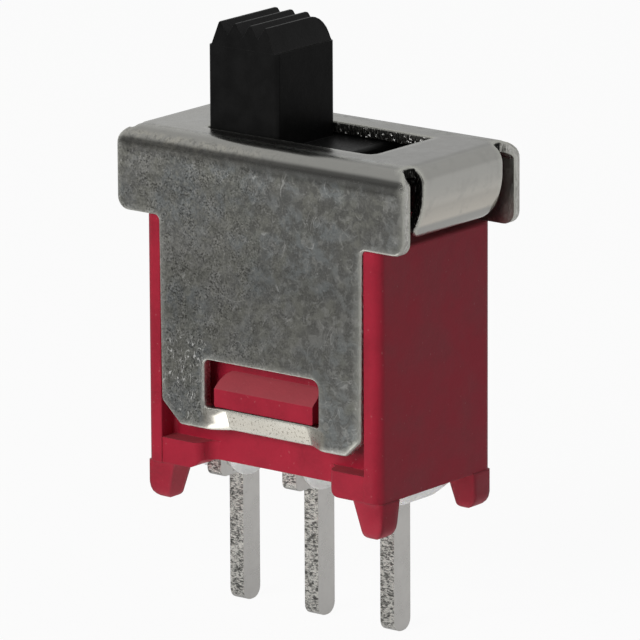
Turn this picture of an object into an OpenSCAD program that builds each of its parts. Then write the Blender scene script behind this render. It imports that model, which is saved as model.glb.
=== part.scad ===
// Subminiature slide switch for a printed circuit board, changeover contacts.
// X is the way the knob slides, -Y is the side with the front tongue, +Z is up.
// The origin is the middle pin's centre at the board's surface, where the feet stand.

/* [Case] */
// Width of the moulded case, front to back
case_w = 4.86; // [4.6:0.02:5.4]
// Height of the moulded case without its feet
case_h = 6.74; // [6.4:0.1:8]
// Radius of the case's upright corners
case_corner_r = 0.28; // [0.1:0.02:0.35]
// Depth of the recess that each tongue lies in
recess_d = 0.58; // [0.5:0.01:0.65]
// Width of the pillar at each end of a recess
pillar_w = 0.51; // [0.4:0.01:0.6]
// Side gap between a tongue and its recess
recess_gap = 0.02; // [0.02:0.005:0.15]
// Length of each corner block under the tongue recess
block_l = 1.76; // [1.45:0.01:1.8]
// Height of the corner blocks
block_h = 0.7; // [0.5:0.01:0.8]
// Radius of a block's inner lower edge
block_r = 0.4; // [0.3:0.02:0.5]
// How far the corner blocks stand back from the pillars
block_inset = 0.03; // [0.02:0.01:0.1]
// Rise of the bottom edge between the corner blocks
arch_h = 0.2; // [0.1:0.05:0.3]
// Thickness of the end walls round the contact chamber
end_wall = 0.65; // [0.5:0.01:0.8]
// Room beyond each end of the rocker
chamber_gap = 0.38; // [0.3:0.02:0.5]
// Width of the contact chamber, front to back
chamber_w = 2.7; // [2.5:0.05:2.8]
// Depth of the sealed space under the floor
pot_depth = 0.95; // [0.8:0.05:1.2]
// Thickness of the floor that holds the pins
floor_t = 0.7; // [0.5:0.05:0.9]

/* [Feet] */
// Height of the feet, which keep the case off the board
stand_off = 1.03; // [0.7:0.01:1.2]
// Length of a foot at its top, along the switch
foot_l = 0.93; // [0.7:0.01:1.1]
// Width of a foot at its top, front to back
foot_w = 0.8; // [0.5:0.01:0.8]
// How far a foot stands out past the case's ends
foot_proud = 0.03; // [0.01:0.01:0.1]
// How much a foot's inner side leans in on its way down
foot_lean = 0.28; // [0.1:0.01:0.3]
// Radius of a foot's outer lower edge
foot_r = 0.42; // [0.1:0.02:0.42]
// How far a foot stands back from the case's front and back
foot_inset = 0.05; // [0.02:0.01:0.1]

/* [Snap wedge] */
// Side gap between the wedge and the window that snaps over it
wedge_side = 0.27; // [0.15:0.01:0.4]
// How far the wedge stands out of its recess
wedge_out = 0.51; // [0.45:0.01:0.55]
// Height of the wedge's upright face
wedge_face = 0.49; // [0.3:0.01:0.6]
// Height of the ramp over that face
wedge_ramp = 0.42; // [0.3:0.02:0.5]
// Gap between the wedge's lower edge and the strip under it
wedge_gap = 0.02; // [0.02:0.01:0.1]

/* [Cover] */
// Thickness of the sheet
sheet_t = 0.3; // [0.22:0.01:0.32]
// How far the cover's bands reach past each end of the case
cover_over = 0.87; // [0.7:0.01:1.1]
// Height of the cover above the case
band_h = 2.26; // [2.1:0.01:2.6]
// How far the bands reach down past the case's top
band_lap = 0; // [0:0.01:0.2]
// How far a tongue's outside stands out past the case
tongue_proud = 0.085; // [0.01:0.005:0.15]
// Outer radius of the bends
bend_r = 0.5; // [0.4:0.01:0.6]
// Radius of the bands' lower corners
band_corner_r = 0.35; // [0.2:0.05:0.5]
// Radius of the bands' upper corners
band_top_r = 0.4; // [0.3:0.05:0.45]
// Height of a tongue's lower edge above the case's underside
tongue_rise = 1.17; // [1:0.01:1.4]
// Width of the slant at each lower corner of a tongue
slant_w = 0.55; // [0.4:0.05:0.8]
// Height of that slant
slant_h = 0.52; // [0.4:0.01:0.6]
// Share by which the left slant is larger and the right one smaller
slant_skew = 0.14; // [0:0.02:0.2]
// How much narrower each side of a tongue is at its foot
tongue_taper = 0.05; // [0:0.01:0.1]
// Fillet where a tongue leaves its band
root_r = 0.15; // [0.1:0.05:0.35]
// Radius of the corners in a tongue's outline
tongue_r = 0.15; // [0.05:0.05:0.3]
// Width of the window in each tongue
window_w = 3.84; // [3.6:0.01:4]
// How far the windows sit to the right of the middle
window_shift = 0.04; // [0:0.01:0.1]
// Height of the window
window_h = 1.3; // [1.2:0.01:1.5]
// Height of the strip under the window
strip_h = 0.6; // [0.5:0.05:0.7]
// How far the strip's lower edge is pushed in under the wedge
strip_in = 0.3; // [0.2:0.01:0.32]
// Length of the slope at each end of the strip
strip_ramp = 0.53; // [0.3:0.01:0.6]
// How far the strip sits to the right of the middle
strip_shift = 0.17; // [0:0.01:0.2]
// Width of the tab at each end of the cover
tab_w = 3.4; // [3:0.05:3.5]
// How far an end tab stands out past the bands
tab_proud = 0.06; // [0:0.01:0.15]
// Radius that the end tabs curl in on
curl_r = 1.9; // [1.6:0.1:2.4]
// Angle that the end tabs curl in by
curl_angle = 42; // [36:1:44]
// Radius of the end tabs' lower corners
tab_corner_r = 0.4; // [0.2:0.05:0.6]

/* [Slider] */
// Travel of the knob from end to end
travel = 3.06; // [2.6:0.02:3.1]
// Length of the knob along its travel
knob_l = 2.33; // [2.1:0.01:2.4]
// Width of the knob across its travel
knob_w = 2.42; // [2:0.01:2.5]
// Height of the knob's plain part above the cover
knob_h = 2.21; // [1.6:0.01:3]
// Height of the ridged grip on the knob
grip_h = 0.65; // [0.55:0.05:0.9]
// Number of ridges on the grip
ridge_count = 4; // [3:1:5]
// Distance from ridge to ridge
ridge_pitch = 0.51; // [0.4:0.01:0.52]
// Depth of the grooves between the ridges
groove_depth = 0.32; // [0.2:0.02:0.4]
// Width of the ledge round the foot of the grip
ledge_w = 0.13; // [0.1:0.005:0.2]
// Radius that the last ridge's back end is rounded by
grip_end_r = 0.5; // [0.1:0.05:0.6]
// Gap between the knob and each side of the slot
slot_side_gap = 0.09; // [0.05:0.01:0.15]
// Gap between the knob and the slot's end at each stop
slot_end_gap = 0.08; // [0.07:0.01:0.12]
// How far the slot sits to the right of the middle
slot_shift = 0.06; // [0:0.01:0.06]
// Running gap above and below the slider's base
run_gap = 0.03; // [0.02:0.01:0.05]
// Thickness of the slider's thin end plates
plate_t = 0.83; // [0.6:0.01:0.85]
// How far the guide hub reaches into the case
hub_drop = 2; // [1.6:0.1:2.2]
// Radius of the guide hub
hub_r = 1.15; // [1:0.05:1.2]

/* [Contacts] */
// Distance from pin to pin
pitch = 2.54; // [2.4:0.01:2.54]
// Thickness of the pins, along the switch
pin_t = 0.46; // [0.3:0.01:0.5]
// Width of the pins, front to back
pin_w = 0.7; // [0.5:0.02:0.8]
// Length of the pins below the board's surface
pin_len = 3.08; // [2.5:0.02:4]
// How far each pin's shoulder stands out to the front
shoulder_w = 0.93; // [0.6:0.01:0.95]
// Height of the shoulder's lower edge above the board
shoulder_z = 0.54; // [0.4:0.01:0.65]
// Height of the rocker's pivot above the floor
pivot_h = 1.3; // [1.2:0.05:1.5]
// Thickness of the rocker
rocker_t = 0.25; // [0.2:0.01:0.3]
// Width of the rocker's arms
rocker_w = 1.24; // [1:0.02:1.4]
// Angle that the rocker tips to each side
tip_angle = 6; // [4:0.5:7]
// Radius of the rounded pivot edge
pivot_r = 0.12; // [0.1:0.01:0.14]
// Radius of the contact buttons on the rocker
button_r = 0.3; // [0.24:0.02:0.32]
// Height of those buttons
button_h = 0.18; // [0.14:0.01:0.22]
// Gap at the closed contact
contact_gap = 0.02; // [0.01:0.01:0.04]

/* [Plunger and spring] */
// Radius of the plunger
plunger_r = 0.6; // [0.5:0.02:0.62]
// Length of the plunger from its tip to the spring's seat
plunger_l = 3.1; // [2.8:0.05:3.3]
// Radial gap of the plunger in its bore
bore_gap = 0.03; // [0.02:0.01:0.05]
// Depth of the bore above the cover's outside
bore_up = 0.7; // [0.4:0.05:1]
// Thickness of the spring's wire
wire_d = 0.14; // [0.1:0.01:0.16]
// Number of turns of the spring
spring_turns = 8; // [6:1:9]

/* [Seal] */
// Depth of the resin's surface inside the case's underside
seal_in = 0.1; // [0.05:0.01:0.15]
// How far down the pins the resin creeps past the case's underside
seal_creep = 0.64; // [0.4:0.01:0.7]
// How far from a pin the resin starts to creep
seal_reach = 0.6; // [0.4:0.05:0.8]
// How far down the resin hangs where it meets an end wall
seal_hang = 0.16; // [0.05:0.01:0.3]
// How far it hangs to either side of a pin, across the case
seal_side = 1.1; // [0.8:0.05:1.2]
// Thickness of the case's end walls round the resin
seal_wall = 0.25; // [0.2:0.05:0.5]

/* [Hidden] */

red = [0.60, 0.13, 0.18];
tin = [0.58, 0.58, 0.55];
nylon = [0.09, 0.09, 0.09];
silver = [0.70, 0.69, 0.67];
resin = [0.86, 0.88, 0.86];
brass = [0.75, 0.63, 0.35];
steel = [0.62, 0.63, 0.64];

round_fn = 48;
corner_steps = 5;
cut = 0.5;
sides = [-1, 1];

rocker_l = 2 * (pitch + button_r + 0.03);
chamber_l = rocker_l + 2 * chamber_gap;
case_l = chamber_l + 2 * end_wall;
case_top = stand_off + case_h;
cover_top = case_top + band_h;
cover_w = case_w + 2 * tongue_proud;
inner_w = cover_w - 2 * sheet_t;
cover_l = case_l + 2 * cover_over;
tab_x = cover_l / 2 + tab_proud;
recess_x = case_l / 2 - pillar_w;
tongue_w = 2 * (recess_x - recess_gap);
recess_y = case_w / 2 - recess_d;
block_x = case_l / 2 - block_l;
tongue_z = stand_off + tongue_rise;
wedge_w = window_w - 2 * wedge_side;
strip_flat = window_w - 1.14;
window_z = tongue_z + strip_h;
wedge_z = window_z + wedge_gap;
curl_z = cover_top - bend_r - 0.21;
floor_z = stand_off + pot_depth;
chamber_z = floor_z + floor_t;

slot_l = knob_l + travel + 2 * slot_end_gap;
slot_w = knob_w + 2 * slot_side_gap;
base_w = inner_w - 0.17;
base_z = case_top + run_gap;
base_top = cover_top - sheet_t - 0.05;
plate_l = 2 * (tab_x - sheet_t - 0.17) - travel;
rail_l = case_l - travel - 0.04;
rail_y = chamber_w / 2 + 0.05;
hub_z = case_top - hub_drop;
bore_r = plunger_r + bore_gap;
bore_z = cover_top + bore_up;
grip_z = cover_top + knob_h;
slider_x = -travel / 2;

pivot_z = chamber_z + pivot_h;
under = 0.02;
stem_w = pin_w + 0.2;
fork_w = 1.5;
fork_gap = 0.05;
waist_w = fork_w - 2 * 0.3 - 2 * fork_gap;
fixed_r = 0.18;
fixed_z = pivot_z - under - button_h - contact_gap - fixed_r;
rise = travel * tip_angle * PI / 180 / 8;
tip_z = pivot_z + (rocker_t - under) / cos(tip_angle) + rise + run_gap;
seat_z = tip_z + plunger_l;
slot_fit = 0.02;

// One rounded corner at b, between a and c, as points on its arc.
function corner(a, b, c, r) =
    let (u = (a - b) / norm(a - b), v = (c - b) / norm(c - b),
         half = acos(u * v) / 2,
         p = b + u * r / tan(half), q = b + v * r / tan(half),
         m = b + (u + v) / norm(u + v) * r / sin(half),
         s = atan2(p[1] - m[1], p[0] - m[0]), e = atan2(q[1] - m[1], q[0] - m[0]),
         turn = e - s > 180 ? e - s - 360 : e - s < -180 ? e - s + 360 : e - s)
    [for (i = [0:corner_steps]) m + r * [cos(s + turn * i / corner_steps),
                                         sin(s + turn * i / corner_steps)]];

// An outline from [x, y, radius] points, each corner rounded by its own radius.
function outline(pts) =
    let (n = len(pts), xy = [for (p = pts) [p[0], p[1]]])
    [for (i = [0:n - 1])
        each (pts[i][2] > 0 ? corner(xy[(i + n - 1) % n], xy[i], xy[(i + 1) % n], pts[i][2])
                            : [xy[i]])];

// The outline's mirror image in the other axis, to close a symmetric shape.
function mirrored(pts) = [for (i = [len(pts) - 1:-1:0]) [-pts[i][0], pts[i][1], pts[i][2]]];

// A flat shape drawn in Y and Z, given its length along X.
module along_x(length) rotate([90, 0, 90]) linear_extrude(length, center = true) children();

// A flat shape drawn in X and Z, given its length along Y.
module along_y(length) rotate([90, 0, 0]) linear_extrude(length, center = true) children();

module mirror_ends() for (s = sides) scale_side([s, 1]) children();
module mirror_sides() for (s = sides) scale_side([1, s]) children();
module scale_side(s) mirror([s[0] < 0 ? 1 : 0, 0, 0]) mirror([0, s[1] < 0 ? 1 : 0, 0]) children();

// Case: plan of the part that carries the tongues, with a recess on each side.
module case_plan_upper() {
    half = [[recess_x, -recess_y, 0.1], [recess_x, -case_w / 2, 0.03],
            [case_l / 2, -case_w / 2, case_corner_r], [case_l / 2, case_w / 2, case_corner_r],
            [recess_x, case_w / 2, 0.03], [recess_x, recess_y, 0.1]];
    polygon(outline(concat(half, mirrored(half))));
}

// Case: plan of the lowest part, with a block in each corner.
module case_plan_lower() {
    block_y = case_w / 2 - block_inset;
    half = [[block_x, -recess_y, 0.3], [block_x, -block_y, 0.3], [recess_x, -block_y, 0],
            [recess_x, -case_w / 2, 0], [case_l / 2, -case_w / 2, case_corner_r],
            [case_l / 2, case_w / 2, case_corner_r], [recess_x, case_w / 2, 0],
            [recess_x, block_y, 0], [block_x, block_y, 0.3], [block_x, recess_y, 0.3]];
    polygon(outline(concat(half, mirrored(half))));
}

// A peg that narrows towards the board and has a rounded bottom.
module foot() {
    x1 = case_l / 2 + foot_proud;
    y1 = case_w / 2 - foot_inset;
    step = 0.1;
    x_side = outline([[x1 - foot_l - foot_lean * step / stand_off, stand_off + step, 0],
                      [x1 - foot_l + foot_lean, 0, 0.18], [x1 - 0.04, 0, foot_r], [x1, stand_off, 0],
                      [x1 - foot_proud, stand_off + step, 0]]);
    y_side = outline([[y1 - foot_w, stand_off + step, 0], [y1 - foot_w + 0.15, 0, 0.15],
                      [y1 - 0.1, 0, 0.25], [y1, stand_off + step, 0]]);
    intersection() {
        along_y(case_w * 2) polygon(x_side);
        along_x(case_l * 2) polygon(y_side);
        linear_extrude(2 * stand_off, center = true)
            polygon(outline([[x1 - 2 * foot_l, y1 - 2 * foot_w, 0], [x1, y1 - 2 * foot_w, 0],
                             [x1, y1, case_corner_r / 2], [x1 - 2 * foot_l, y1, 0]]));
    }
}

// The wedge that holds a tongue down: a ramp on top and a catch below.
module wedge() {
    top = wedge_z + wedge_face + wedge_ramp;
    face_y = recess_y + wedge_out;
    intersection() {
        along_x(wedge_w) polygon([[recess_y - 0.1, top], [recess_y, top],
                                  [face_y, wedge_z + wedge_face], [face_y, wedge_z],
                                  [recess_y - 0.1, wedge_z]]);
        along_y(case_w * 2) polygon(outline([[-wedge_w / 2, wedge_z, 0.05], [wedge_w / 2, wedge_z, 0.05],
                                             [wedge_w / 2, top, 0.3], [-wedge_w / 2, top, 0.3]]));
    }
}

module case() color(red) {
    edge = 0.12;
    half_l = case_l / 2;
    sweep = acos(1 - arch_h / block_r);
    arch = concat([[block_x + block_r, stand_off - cut, 0]], [for (i = [0:6]) let (a = sweep * i / 6)
        [block_x + block_r * (1 - sin(a)), stand_off + block_r * (1 - cos(a)), 0]]);
    difference() {
        union() {
            intersection() {
                union() {
                    translate([0, 0, stand_off + block_h])
                        linear_extrude(case_h - block_h) case_plan_upper();
                    translate([0, 0, stand_off]) linear_extrude(block_h) case_plan_lower();
                }
                along_y(case_w * 2) polygon(outline([[-half_l, stand_off, 0], [half_l, stand_off, 0],
                                                     [half_l, case_top, edge], [-half_l, case_top, edge]]));
            }
            mirror_ends() mirror_sides() foot();
            mirror_sides() wedge();
        }
        translate([-chamber_l / 2, -chamber_w / 2, chamber_z])
            cube([chamber_l, chamber_w, case_h]);
        translate([seal_wall - half_l, -chamber_w / 2, stand_off - cut])
            cube([case_l - 2 * seal_wall, chamber_w, pot_depth + cut]);
        along_y(case_w * 2) polygon(outline(concat(arch, mirrored(arch))));
        for (i = [-1:1]) pin_slot(i * pitch, i == 0 ? fork_w : stem_w);
    }
}

// A pin's way through the floor.
module pin_slot(x, w) translate([x - pin_t / 2 - slot_fit, -w / 2 - slot_fit, floor_z - cut])
    cube([pin_t + 2 * slot_fit, w + 2 * slot_fit, floor_t + 2 * cut]);

// Cover: section across the folded sheet, as an outer or an inner shell.
module fold_section(half_w, top, r) {
    low = tongue_z - cut;
    translate([-half_w, low]) square([2 * half_w, top - r - low]);
    translate([r - half_w, low]) square([2 * (half_w - r), top - low]);
    for (s = sides) translate([s * (half_w - r), top - r]) circle(r, $fn = round_fn);
}

// Cover: outline of a band with its tongue, as seen from the front.
function band_half(slant) = [
    [cover_l / 2, cover_top, band_top_r], [cover_l / 2, case_top - band_lap, band_corner_r],
    [tongue_w / 2, case_top - band_lap, root_r],
    [tongue_w / 2 - tongue_taper, tongue_z + slant_h * slant, tongue_r],
    [tongue_w / 2 - tongue_taper - slant_w * slant, tongue_z, tongue_r]];
module band_outline() polygon(outline(concat(band_half(1 - slant_skew), mirrored(band_half(1 + slant_skew)))));

// A quarter, or part, of a bent sheet: centre, outer radius, start and end angle.
module sheet_bend(x, z, r, a0, a1) translate([x, z]) difference() {
    circle(r, $fn = round_fn * 2);
    circle(r - sheet_t, $fn = round_fn * 2);
    far = 3 * r;
    mid = (a0 + a1) / 2;
    polygon(concat([[0, 0]], [for (i = [0:6]) let (a = a1 + (360 + a0 - a1) * i / 6)
                              far * [cos(a), sin(a)]]));
}

// Cover: the tab at the right-hand end, bent down and curled in to the case.
module end_tab() {
    low = curl_z - curl_r * sin(curl_angle);
    intersection() {
        along_y(tab_w) {
            translate([chamber_l / 2, cover_top - sheet_t])
                square([tab_x - bend_r - chamber_l / 2, sheet_t]);
            sheet_bend(tab_x - bend_r, cover_top - bend_r, bend_r, 0, 90);
            translate([tab_x - sheet_t, curl_z]) square([sheet_t, cover_top - bend_r - curl_z]);
            sheet_bend(tab_x - curl_r, curl_z, curl_r, -curl_angle, 0);
        }
        along_x(cover_l * 2) polygon(outline([[-tab_w / 2, low - 0.1, tab_corner_r],
                                              [tab_w / 2, low - 0.1, tab_corner_r],
                                              [tab_w / 2, cover_top, 0], [-tab_w / 2, cover_top, 0]]));
    }
}

// The gap that lets an end tab bend apart from a band.
module tab_notch() {
    x = tab_x - 0.41;
    translate([0, 0, case_top]) linear_extrude(band_h + cut)
        polygon(outline([[x, tab_w / 2, 0.15], [x, inner_w / 2, 0.15],
                         [x + 2, inner_w / 2, 0], [x + 2, tab_w / 2, 0]]));
}

// Section of the strip under a window, pushed in by so much at its top and bottom.
module strip_section(x, top_in, low_in) {
    thin = 0.01;
    y = cover_w / 2;
    translate([x, 0, 0]) along_x(thin)
        polygon([[y - low_in, tongue_z], [y - top_in, window_z],
                 [y - top_in - sheet_t, window_z], [y - low_in - sheet_t, tongue_z]]);
}

// The strip under a window, pressed in behind the wedge's lower edge.
module strip() {
    flat = strip_flat / 2;
    top_in = strip_in / 3;
    hull() { strip_section(-flat - strip_ramp, 0, 0); strip_section(-flat, top_in, strip_in); }
    hull() { strip_section(-flat, top_in, strip_in); strip_section(flat, top_in, strip_in); }
    hull() { strip_section(flat, top_in, strip_in); strip_section(flat + strip_ramp, 0, 0); }
}

module cover() color(tin) {
    strip_l = strip_flat + 2 * strip_ramp;
    window_x = window_w / 2;
    difference() {
        union() {
            intersection() {
                along_x(cover_l) difference() {
                    fold_section(cover_w / 2, cover_top, bend_r);
                    fold_section(inner_w / 2, cover_top - sheet_t, bend_r - sheet_t);
                }
                along_y(cover_w * 2) band_outline();
            }
            mirror_ends() end_tab();
        }
        mirror_ends() mirror_sides() tab_notch();
        translate([slot_shift, 0, cover_top - sheet_t - cut]) linear_extrude(sheet_t + 2 * cut)
            polygon(outline([[-slot_l / 2, -slot_w / 2, 0.15], [slot_l / 2, -slot_w / 2, 0.24],
                             [slot_l / 2, slot_w / 2, 0.06], [-slot_l / 2, slot_w / 2, 0.06]]));
        translate([window_shift, 0, 0]) along_y(cover_w * 2)
            polygon(outline([[-window_x, window_z, 0.12], [window_x, window_z, 0.12],
                             [window_x, window_z + window_h, 0.25],
                             [-window_x, window_z + window_h, 0.15]]));
        translate([strip_shift - strip_l / 2, -cover_w, tongue_z - cut]) cube([strip_l, cover_w * 2, strip_h + cut]);
    }
    translate([strip_shift, 0, 0]) mirror_sides() strip();
}

// Slider: side view of the grip, with a groove between each two ridges.
module grip_profile() {
    land = 0.06;
    first = -(ridge_count - 1) / 2 * ridge_pitch;
    foot_x = knob_l / 2 - ledge_w;
    top = grip_z + grip_h;
    polygon(concat(
        [[-foot_x - 0.03, grip_z - 0.1], [-foot_x - 0.03, grip_z], [-foot_x, grip_z + 0.05]],
        [for (i = [0:ridge_count - 1]) let (x = first + i * ridge_pitch)
            each (i < ridge_count - 1
                ? [[x - land / 2, top], [x + land / 2, top], [x + ridge_pitch / 2, top - groove_depth]]
                : [[x - land / 2, top], [x + land / 2, top]])],
        [[foot_x, grip_z + 0.05], [foot_x + 0.03, grip_z], [foot_x + 0.03, grip_z - 0.1]]));
}

// Slider: side view of the base, thin end plates over shorter runners.
module base_profile() {
    plate_z = base_top - plate_t;
    half = [[plate_l / 2, base_top, 0.15], [plate_l / 2, plate_z, 0.1],
            [rail_l / 2, plate_z, 0.12], [rail_l / 2, base_z, 0.1]];
    polygon(outline(concat(half, mirrored(half))));
}

// Slider: end view of the grip, its back rounded by so much.
module grip_end(r) polygon(outline([
    [-knob_w / 2, grip_z - 0.2, 0], [knob_w / 2, grip_z - 0.2, 0],
    [knob_w / 2 - 0.02, grip_z + grip_h, r], [0.02 - knob_w / 2, grip_z + grip_h, 0.05]]));

module slider() color(nylon) translate([slider_x, 0, 0]) difference() {
    plate_z = base_top - plate_t;
    last_x = (ridge_count - 2) / 2 * ridge_pitch;
    round_edge = 0.12;
    union() {
        difference() {
            intersection() {
                along_y(base_w) base_profile();
                along_x(plate_l * 2) polygon(outline([
                    [-base_w / 2, base_z, 0.08], [base_w / 2, base_z, 0.08],
                    [base_w / 2, base_top, 0.2], [-base_w / 2, base_top, 0.2]]));
            }
            translate([-plate_l / 2, -rail_y, base_z - cut]) cube([plate_l, 2 * rail_y, plate_z - base_z + cut]);
        }
        translate([0, 0, hub_z]) cylinder(r = hub_r, h = plate_z + 0.1 - hub_z, $fn = round_fn);
        translate([0, 0, base_top - 0.1]) linear_extrude(grip_z - base_top + 0.1)
            polygon(outline([[-knob_l / 2, -knob_w / 2, round_edge], [knob_l / 2, -knob_w / 2, round_edge],
                             [knob_l / 2, knob_w / 2, round_edge], [-knob_l / 2, knob_w / 2, round_edge]]));
        intersection() {
            along_y(knob_w) grip_profile();
            union() {
                translate([-knob_l / 2, 0, 0]) along_x(2 * last_x + knob_l) grip_end(0.05);
                along_x(knob_l) grip_end(grip_end_r);
            }
        }
    }
    translate([0, 0, hub_z - cut]) cylinder(r = bore_r, h = bore_z - hub_z + cut, $fn = round_fn);
}

// Plunger: a pin with a round tip and a spigot that centres the spring.
module plunger() color(brass) translate([slider_x, 0, 0]) {
    spigot_r = 0.28;
    translate([0, 0, tip_z + plunger_r]) sphere(plunger_r, $fn = round_fn);
    translate([0, 0, tip_z + plunger_r]) cylinder(r = plunger_r, h = plunger_l - plunger_r, $fn = round_fn);
    translate([0, 0, seat_z - 0.1]) cylinder(r = spigot_r, h = 0.6, $fn = round_fn);
}

// Spring: a round wire along a helix, closed by flat ends.
function coil_point(t) = let (a = 360 * spring_turns * t, r = plunger_r - 0.05 - wire_d / 2)
    [r * cos(a), r * sin(a), seat_z + wire_d / 2 + (bore_z - seat_z - wire_d) * t];

module plunger_spring() color(steel) translate([slider_x, 0, 0]) {
    per_turn = 14;
    round = 6;
    rings = per_turn * spring_turns;
    points = [for (k = [0:rings]) let (t = k / rings, a = 360 * spring_turns * t, p = coil_point(t))
        for (j = [0:round - 1]) let (b = 360 * j / round)
            p + wire_d / 2 * [cos(b) * cos(a), cos(b) * sin(a), sin(b)]];
    faces = concat(
        [for (k = [0:rings - 1], j = [0:round - 1]) let (n = (j + 1) % round)
            each [[k * round + j, (k + 1) * round + j, (k + 1) * round + n],
                  [k * round + j, (k + 1) * round + n, k * round + n]]],
        [[for (j = [0:round - 1]) j], [for (j = [round - 1:-1:0]) rings * round + j]]);
    polyhedron(points, faces, convexity = 10);
}

// Places something drawn in the rocker's own frame, pivot at the origin, at rest.
module on_rocker() translate([0, 0, pivot_z]) rotate([0, -tip_angle, 0]) children();

// One arm of the rocker, bent up a little from the pivot.
module arm(side) rotate([0, -side * tip_angle, 0])
    translate([side > 0 ? -0.05 : -rocker_l / 2, -rocker_w / 2, -under])
        cube([rocker_l / 2 + 0.05, rocker_w, rocker_t]);

// Rocker: a stamped strip, narrowed where it lies in the middle pin's fork.
module rocker() color(silver) on_rocker() {
    waist_l = pin_t + 0.26;
    end_x = rocker_l / 2 - 0.02;
    half = [[waist_l / 2, -waist_w / 2, 0.05], [waist_l / 2, -rocker_w / 2, 0.05],
            [end_x, -rocker_w / 2, 0.25], [end_x, rocker_w / 2, 0.25],
            [waist_l / 2, rocker_w / 2, 0.05], [waist_l / 2, waist_w / 2, 0.05]];
    difference() {
        intersection() {
            union() { arm(-1); arm(1); }
            translate([0, 0, -1]) linear_extrude(3) polygon(outline(concat(half, mirrored(half))));
        }
        along_y(rocker_w * 2) circle(pivot_r + run_gap, $fn = round_fn);
    }
}

// A contact button under one arm, flat with a rounded rim.
module rocker_contact(side) on_rocker() rotate([0, -side * tip_angle, 0])
    translate([side * pitch, 0, -under - button_h]) {
        rim = 0.05;
        cylinder(r1 = button_r - rim, r2 = button_r, h = rim, $fn = round_fn);
        translate([0, 0, rim]) cylinder(r = button_r, h = button_h - rim, $fn = round_fn);
    }
module left_rocker_contact() color(silver) rocker_contact(-1);
module right_rocker_contact() color(silver) rocker_contact(1);

// A pin's outline from the end: round tip, shoulder to the front, stem through the floor.
function pin_outline(stem, head) = concat(
    [[-pin_w / 2, -pin_len, 0.3], [pin_w / 2, -pin_len, 0.3], [pin_w / 2, floor_z - 0.1, 0],
     [stem / 2, floor_z - 0.1, 0]], head,
    [[-stem / 2, floor_z - 0.02, 0], [-pin_w / 2 - shoulder_w, floor_z - 0.02, 0],
     [-pin_w / 2 - shoulder_w, shoulder_z, 0.22], [-pin_w / 2, shoulder_z, 0.1]]);

module end_pin() along_x(pin_t)
    polygon(outline(pin_outline(stem_w, [[stem_w / 2, fixed_z, 0], [-stem_w / 2, fixed_z, 0]])));
module left_terminal() color(silver) translate([-pitch, 0, 0]) end_pin();
module right_terminal() color(silver) translate([pitch, 0, 0]) end_pin();

// Middle pin: its top is a fork with a rounded edge that the rocker tips on.
module common_terminal() color(silver) {
    prong_z = pivot_z + 0.22;
    gap = waist_w + 2 * fork_gap;
    along_x(pin_t) polygon(outline(pin_outline(fork_w, [
        [fork_w / 2, prong_z, 0.08], [gap / 2, prong_z, 0.08], [gap / 2, pivot_z - 0.3, 0],
        [-gap / 2, pivot_z - 0.3, 0], [-gap / 2, prong_z, 0.08], [-fork_w / 2, prong_z, 0.08]])));
    along_y(gap) {
        polygon([[-pin_t / 2, pivot_z - 0.3], [pin_t / 2, pivot_z - 0.3], [pivot_r, pivot_z],
                 [-pivot_r, pivot_z]]);
        translate([0, pivot_z]) circle(pivot_r, $fn = round_fn);
    }
}

// A half-round bar of contact metal across the top of an end pin.
module fixed_contact(x) translate([x, 0, fixed_z]) along_y(stem_w - 0.1) intersection() {
    circle(fixed_r, $fn = round_fn);
    translate([-fixed_r, 0]) square([2 * fixed_r, fixed_r]);
}
module left_fixed_contact() color(silver) fixed_contact(-pitch);
module right_fixed_contact() color(silver) fixed_contact(pitch);

// Sealing resin: fills the space under the floor round the pins and creeps down each pin.
module epoxy_seal() color(resin) {
    level = stand_off + seal_in;
    half_y = chamber_w / 2;
    low = stand_off - seal_creep;
    sweep_r = (seal_side * seal_side + (level - low) * (level - low)) / (2 * (level - low));
    near = pin_t / 2 + 0.02;
    far = pin_t / 2 + seal_reach;
    wall_x = case_l / 2 - seal_wall - pitch;
    difference() {
        union() {
            translate([seal_wall - case_l / 2, -half_y, level])
                cube([case_l - 2 * seal_wall, chamber_w, floor_z - level]);
            for (i = [-1:1]) translate([i * pitch, 0, 0]) intersection() {
                inner = [[-far, level + 0.1, 0], [-far, level, 0], [-near - 0.06, level - 0.08, 0.5], [-near, low, 0]];
                outer = [[near, low, 0], [near + 0.5, low + 0.18, 0.3], [wall_x, level - seal_hang, 0],
                         [wall_x, level + 0.1, 0]];
                mirror([i < 0 ? 1 : 0, 0, 0]) along_y(chamber_w)
                    polygon(outline(concat(inner, i == 0 ? mirrored(inner) : outer)));
                along_x(2 * wall_x + 2 * far) intersection() {
                    translate([0, low + sweep_r]) circle(sweep_r, $fn = round_fn * 2);
                    translate([-half_y, low - 1]) square([chamber_w, level - low + 1.02]);
                }
            }
        }
        for (s = sides) translate([s * pitch, 0, 0]) end_pin();
        common_terminal();
    }
}

case();
cover();
slider();
plunger();
plunger_spring();
rocker();
left_rocker_contact();
right_rocker_contact();
common_terminal();
left_terminal();
right_terminal();
left_fixed_contact();
right_fixed_contact();
epoxy_seal();
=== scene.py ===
"""Slide switch for a circuit board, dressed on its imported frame. Sizes are in metres, in the frame's axes."""

import math

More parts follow.
